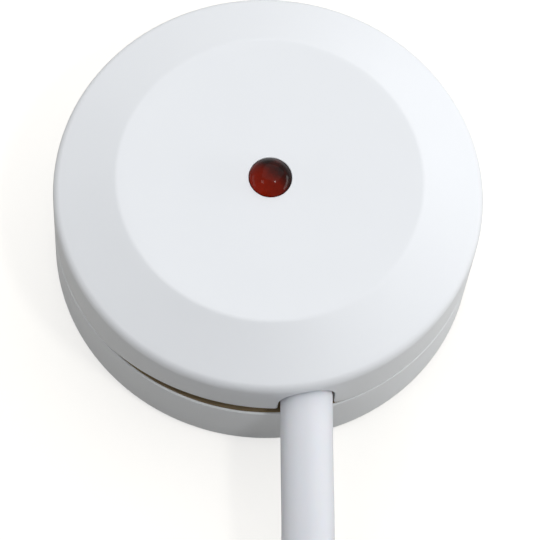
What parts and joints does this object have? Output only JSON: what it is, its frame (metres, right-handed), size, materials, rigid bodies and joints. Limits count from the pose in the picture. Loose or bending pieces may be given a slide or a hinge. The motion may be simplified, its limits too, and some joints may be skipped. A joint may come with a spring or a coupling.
{
  "type": "glass break detector",
  "caption": "Round white stick-on glass break detector: two-part case, piezo disc, circuit board, red lamp and a four-core cable put away in a tied coil.",
  "frame": {"origin": "middle of the sticky pad's underside, on the pane", "axes": "+Z away from the pane, through the lamp; the cable leaves the case towards -Y"},
  "size_m": [0.055, 0.1031, 0.0254],
  "materials": {
    "white_abs": "fine satin injection-moulded ABS",
    "foam_tape": "acrylic foam tape",
    "gasket": "thin silicone gasket",
    "epoxy_bond": "cured epoxy film",
    "brass_sheet": "rolled brass sheet",
    "silvered_ceramic": "screen-printed silver on ceramic",
    "board_laminate": "glass laminate with green solder mask",
    "plated_screw": "zinc-plated steel",
    "red_epoxy": "cast tinted epoxy",
    "tinned_metal": "bright tin plating",
    "lamp_chip": "sawn crystal",
    "white_nylon": "natural nylon",
    "solder": "bright solder",
    "white_pvc": "extruded soft PVC",
    "tie_vinyl": "vinyl-covered twist tie",
    "black_resin": "moulded epoxy resin",
    "white_resin": "moulded epoxy resin",
    "yellow_resin": "moulded epoxy resin",
    "tan_ceramic": "fired ceramic",
    "resistor_glaze": "black overglaze",
    "red_pvc": "extruded soft PVC",
    "yellow_pvc": "extruded soft PVC",
    "blue_pvc": "extruded soft PVC",
    "black_pvc": "extruded soft PVC"
  },
  "bodies": {
    "base": {"alarm_relay": "white_resin", "alarm_relay_pins": "tinned_metal", "base_shell": "white_abs", "board_screws": "plated_screw", "bridge_rectifier": "black_resin", "bridge_rectifier_pins": "tinned_metal", "cable_coil": "white_pvc", "cable_inlet": "white_pvc", "cable_lead": "white_pvc", "cable_tie": "white_nylon", "ceramic_capacitor_bodies": "tan_ceramic", "ceramic_capacitor_ends": "tinned_metal", "circuit_board": "board_laminate", "coil_tie": "tie_vinyl", "core_black": "black_pvc", "core_blue": "blue_pvc", "core_red": "red_pvc", "core_strands": "tinned_metal", "core_yellow": "yellow_pvc", "lamp_body": "red_epoxy", "lamp_die": "lamp_chip", "lamp_legs": "tinned_metal", "lamp_spacer": "white_nylon", "mounting_pad": "foam_tape", "piezo_bond": "epoxy_bond", "piezo_ceramic": "silvered_ceramic", "piezo_plate": "brass_sheet", "piezo_wire_black": "black_pvc", "piezo_wire_red": "red_pvc", "resistor_bodies": "resistor_glaze", "resistor_ends": "tinned_metal", "seam_gasket": "gasket", "signal_chip": "black_resin", "signal_chip_pins": "tinned_metal", "solder_joints": "solder", "tail_black": "black_pvc", "tail_blue": "blue_pvc", "tail_red": "red_pvc", "tail_tips": "tinned_metal", "tail_yellow": "yellow_pvc", "tantalum_capacitor_bodies": "yellow_resin", "tantalum_capacitor_ends": "tinned_metal", "transistor": "black_resin", "transistor_pins": "tinned_metal"},
    "cover": {"top_cover": "white_abs"}
  },
  "joints": [
    {"name": "cover_lift", "type": "slide", "parent": "base", "child": "cover", "axis": [0, 0, 1], "range_m": [0, 0.015]}
  ]
}
